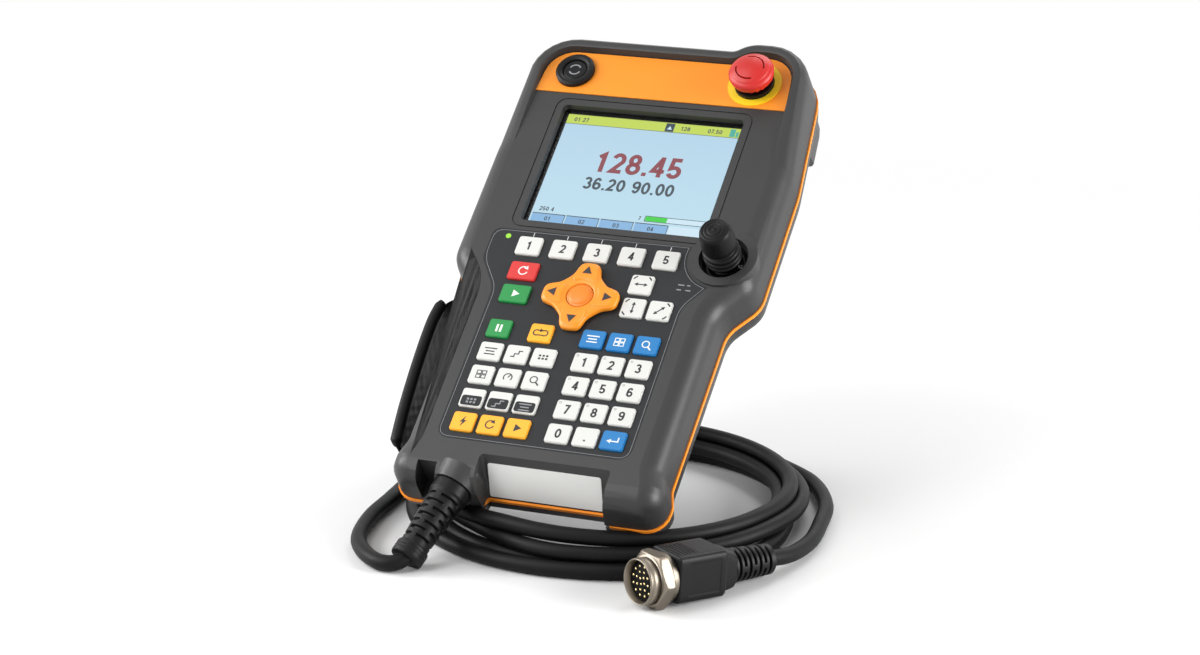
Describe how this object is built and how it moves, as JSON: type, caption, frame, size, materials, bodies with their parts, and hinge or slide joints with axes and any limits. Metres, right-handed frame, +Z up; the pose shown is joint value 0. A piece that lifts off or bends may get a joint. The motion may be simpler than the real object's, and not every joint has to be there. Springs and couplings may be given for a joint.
{
  "type": "teach pendant",
  "caption": "Hand-held robot teach pendant with screen, keypad, direction pad, joystick, emergency stop and a coiled cord, leaning on its own coil.",
  "frame": {"origin": "floor point under the pendant's lower edge, on the flat underside of the cord coil", "axes": "+Z up; -Y towards the user, out of the lower edge; +X to the right of the face; the face leans back 38.45 degrees from flat"},
  "size_m": [0.3062, 0.3934, 0.2972],
  "materials": {
    "housing_plastic": "fine matt grain, dark warm grey",
    "gasket_orange": "satin orange rubber",
    "panel_orange": "satin orange foil",
    "window_glass": "clear, glossy",
    "display_picture": null,
    "circuit_board": "green solder resist",
    "overlay_slate": "fine satin film, slate grey",
    "led_green": "glowing green",
    "plate_silver": "satin silver plate, blank",
    "steel": "satin steel",
    "strap_fabric": "black padded fabric",
    "black_plastic": "satin black",
    "lever_plastic": "satin dark grey",
    "estop_red": "satin red",
    "estop_yellow": "yellow disc",
    "joystick_rubber": "matt black rubber",
    "cord_rubber": "matt black rubber sheath",
    "nickel": "satin nickel plate",
    "contact_insert": "black insert with gold contacts",
    "key_white": "off-white key caps",
    "key_red": "red key cap",
    "key_green": "green key cap",
    "key_amber": "amber key caps",
    "key_blue": "blue key caps",
    "pad_orange": "satin orange",
    "pad_centre": "satin deep orange"
  },
  "bodies": {
    "pendant": {"front_housing": "housing_plastic", "back_cover": "housing_plastic", "head_cover": "housing_plastic", "seam_gasket": "gasket_orange", "top_panel": "panel_orange", "display_window": "window_glass", "display_module": "display_picture", "main_board": "circuit_board", "keypad_overlay": "overlay_slate", "key_board": "circuit_board", "status_led": "led_green", "rating_plate": "plate_silver", "cover_screws": "steel", "strap_anchors": "black_plastic", "hand_strap": "strap_fabric", "estop_ring": "estop_yellow", "estop_body": "black_plastic", "button_bezel": "black_plastic", "joystick_base": "black_plastic", "strain_relief": "cord_rubber", "cable_lead": "cord_rubber", "cable_coil": "cord_rubber", "cable_tail": "cord_rubber", "plug_boot": "cord_rubber", "plug_body": "black_plastic", "plug_shell": "nickel", "plug_insert": "contact_insert"},
    "estop_plunger": {"estop_plunger": "black_plastic"},
    "estop_head": {"estop_head": "estop_red"},
    "button_cap": {"button_cap": "black_plastic"},
    "joystick_gimbal": {"joystick_gimbal": "steel"},
    "joystick_stick": {"joystick_stick": "joystick_rubber"},
    "dpad_pivot": {"dpad_pivot": "steel"},
    "dpad": {"dpad": "pad_orange"},
    "dpad_centre": {"dpad_centre": "pad_centre"},
    "enable_lever_left": {"enable_lever_left": "lever_plastic"},
    "enable_lever_right": {"enable_lever_right": "lever_plastic"},
    "plug_nut": {"plug_nut": "nickel"},
    "key_f1": {"key_f1": "key_white"},
    "key_f2": {"key_f2": "key_white"},
    "key_f3": {"key_f3": "key_white"},
    "key_f4": {"key_f4": "key_white"},
    "key_f5": {"key_f5": "key_white"},
    "key_reset": {"key_reset": "key_red"},
    "key_start": {"key_start": "key_green"},
    "key_hold": {"key_hold": "key_green"},
    "key_loop": {"key_loop": "key_amber"},
    "key_x": {"key_x": "key_white"},
    "key_y": {"key_y": "key_white"},
    "key_z": {"key_z": "key_white"},
    "keys_blue": {"keys_blue": "key_blue"},
    "keys_left_1": {"keys_left_1": "key_white"},
    "keys_left_2": {"keys_left_2": "key_white"},
    "keys_left_3": {"keys_left_3": "key_white"},
    "keys_left_4": {"keys_left_4": "key_amber"},
    "keys_right_1": {"keys_right_1": "key_white"},
    "keys_right_2": {"keys_right_2": "key_white"},
    "keys_right_3": {"keys_right_3": "key_white"},
    "keys_right_4": {"keys_right_4": "key_white"}
  },
  "joints": [
    {"name": "key_f1_press", "type": "slide", "parent": "pendant", "child": "key_f1", "axis": [0, 0.6218, -0.7832], "range_m": [0, 0.001], "stiffness_N_per_m": 600},
    {"name": "key_f2_press", "type": "slide", "parent": "pendant", "child": "key_f2", "axis": [0, 0.6218, -0.7832], "range_m": [0, 0.001], "stiffness_N_per_m": 600},
    {"name": "key_f3_press", "type": "slide", "parent": "pendant", "child": "key_f3", "axis": [0, 0.6218, -0.7832], "range_m": [0, 0.001], "stiffness_N_per_m": 600},
    {"name": "key_f4_press", "type": "slide", "parent": "pendant", "child": "key_f4", "axis": [0, 0.6218, -0.7832], "range_m": [0, 0.001], "stiffness_N_per_m": 600},
    {"name": "key_f5_press", "type": "slide", "parent": "pendant", "child": "key_f5", "axis": [0, 0.6218, -0.7832], "range_m": [0, 0.001], "stiffness_N_per_m": 600},
    {"name": "key_reset_press", "type": "slide", "parent": "pendant", "child": "key_reset", "axis": [0, 0.6218, -0.7832], "range_m": [0, 0.001], "stiffness_N_per_m": 600},
    {"name": "key_start_press", "type": "slide", "parent": "pendant", "child": "key_start", "axis": [0, 0.6218, -0.7832], "range_m": [0, 0.001], "stiffness_N_per_m": 600},
    {"name": "key_hold_press", "type": "slide", "parent": "pendant", "child": "key_hold", "axis": [0, 0.6218, -0.7832], "range_m": [0, 0.001], "stiffness_N_per_m": 600},
    {"name": "key_loop_press", "type": "slide", "parent": "pendant", "child": "key_loop", "axis": [0, 0.6218, -0.7832], "range_m": [0, 0.001], "stiffness_N_per_m": 600},
    {"name": "key_x_press", "type": "slide", "parent": "pendant", "child": "key_x", "axis": [0, 0.6218, -0.7832], "range_m": [0, 0.001], "stiffness_N_per_m": 600},
    {"name": "key_y_press", "type": "slide", "parent": "pendant", "child": "key_y", "axis": [0, 0.6218, -0.7832], "range_m": [0, 0.001], "stiffness_N_per_m": 600},
    {"name": "key_z_press", "type": "slide", "parent": "pendant", "child": "key_z", "axis": [0, 0.6218, -0.7832], "range_m": [0, 0.001], "stiffness_N_per_m": 600},
    {"name": "keys_blue_press", "type": "slide", "parent": "pendant", "child": "keys_blue", "axis": [0, 0.6218, -0.7832], "range_m": [0, 0.001], "stiffness_N_per_m": 1500},
    {"name": "keys_left_1_press", "type": "slide", "parent": "pendant", "child": "keys_left_1", "axis": [0, 0.6218, -0.7832], "range_m": [0, 0.001], "stiffness_N_per_m": 1500},
    {"name": "keys_left_2_press", "type": "slide", "parent": "pendant", "child": "keys_left_2", "axis": [0, 0.6218, -0.7832], "range_m": [0, 0.001], "stiffness_N_per_m": 1500},
    {"name": "keys_left_3_press", "type": "slide", "parent": "pendant", "child": "keys_left_3", "axis": [0, 0.6218, -0.7832], "range_m": [0, 0.001], "stiffness_N_per_m": 1500},
    {"name": "keys_left_4_press", "type": "slide", "parent": "pendant", "child": "keys_left_4", "axis": [0, 0.6218, -0.7832], "range_m": [0, 0.001], "stiffness_N_per_m": 1500},
    {"name": "keys_right_1_press", "type": "slide", "parent": "pendant", "child": "keys_right_1", "axis": [0, 0.6218, -0.7832], "range_m": [0, 0.001], "stiffness_N_per_m": 1500},
    {"name": "keys_right_2_press", "type": "slide", "parent": "pendant", "child": "keys_right_2", "axis": [0, 0.6218, -0.7832], "range_m": [0, 0.001], "stiffness_N_per_m": 1500},
    {"name": "keys_right_3_press", "type": "slide", "parent": "pendant", "child": "keys_right_3", "axis": [0, 0.6218, -0.7832], "range_m": [0, 0.001], "stiffness_N_per_m": 1500},
    {"name": "keys_right_4_press", "type": "slide", "parent": "pendant", "child": "keys_right_4", "axis": [0, 0.6218, -0.7832], "range_m": [0, 0.001], "stiffness_N_per_m": 1500},
    {"name": "estop_push", "type": "slide", "parent": "pendant", "child": "estop_plunger", "axis": [0, 0.6218, -0.7832], "range_m": [0, 0.004]},
    {"name": "estop_twist", "type": "hinge", "parent": "estop_plunger", "child": "estop_head", "pos_m": [0.066, 0.27682, 0.27214], "axis": [0, 0.6218, -0.7832], "range_deg": [0, 45], "stiffness_Nm_per_rad": 0.08},
    {"name": "button_press", "type": "slide", "parent": "pendant", "child": "button_cap", "axis": [0, 0.6218, -0.7832], "range_m": [0, 0.002], "stiffness_N_per_m": 600},
    {"name": "joystick_tilt", "type": "hinge", "parent": "pendant", "child": "joystick_gimbal", "pos_m": [0.0864, 0.16315, 0.17167], "axis": [1, 0, 0], "range_deg": [-14, 14], "stiffness_Nm_per_rad": 0.25},
    {"name": "joystick_lean", "type": "hinge", "parent": "joystick_gimbal", "child": "joystick_stick", "pos_m": [0.0864, 0.16315, 0.17167], "axis": [0, 0.7832, 0.6218], "range_deg": [-14, 14], "stiffness_Nm_per_rad": 0.25},
    {"name": "dpad_tilt", "type": "hinge", "parent": "pendant", "child": "dpad_pivot", "pos_m": [-0.003, 0.12443, 0.14565], "axis": [1, 0, 0], "range_deg": [-2.4, 2.4], "stiffness_Nm_per_rad": 1.5},
    {"name": "dpad_lean", "type": "hinge", "parent": "dpad_pivot", "child": "dpad", "pos_m": [-0.003, 0.12443, 0.14565], "axis": [0, 0.7832, 0.6218], "range_deg": [-2.4, 2.4], "stiffness_Nm_per_rad": 1.5},
    {"name": "dpad_centre_press", "type": "slide", "parent": "dpad", "child": "dpad_centre", "axis": [0, 0.6218, -0.7832], "range_m": [0, 0.0008], "stiffness_N_per_m": 600},
    {"name": "enable_squeeze_right", "type": "hinge", "parent": "pendant", "child": "enable_lever_right", "pos_m": [0.076, 0.12564, 0.09911], "axis": [0, 0.7832, 0.6218], "range_deg": [0, 8], "stiffness_Nm_per_rad": 4},
    {"name": "enable_squeeze_left", "type": "hinge", "parent": "pendant", "child": "enable_lever_left", "pos_m": [-0.076, 0.12564, 0.09911], "axis": [0, -0.7832, -0.6218], "range_deg": [0, 8], "stiffness_Nm_per_rad": 4},
    {"name": "plug_nut_turn", "type": "hinge", "parent": "pendant", "child": "plug_nut", "pos_m": [0.10952, -0.03396, 0.01798], "axis": [0.5434, 0.8367, -0.068], "continuous": true}
  ]
}
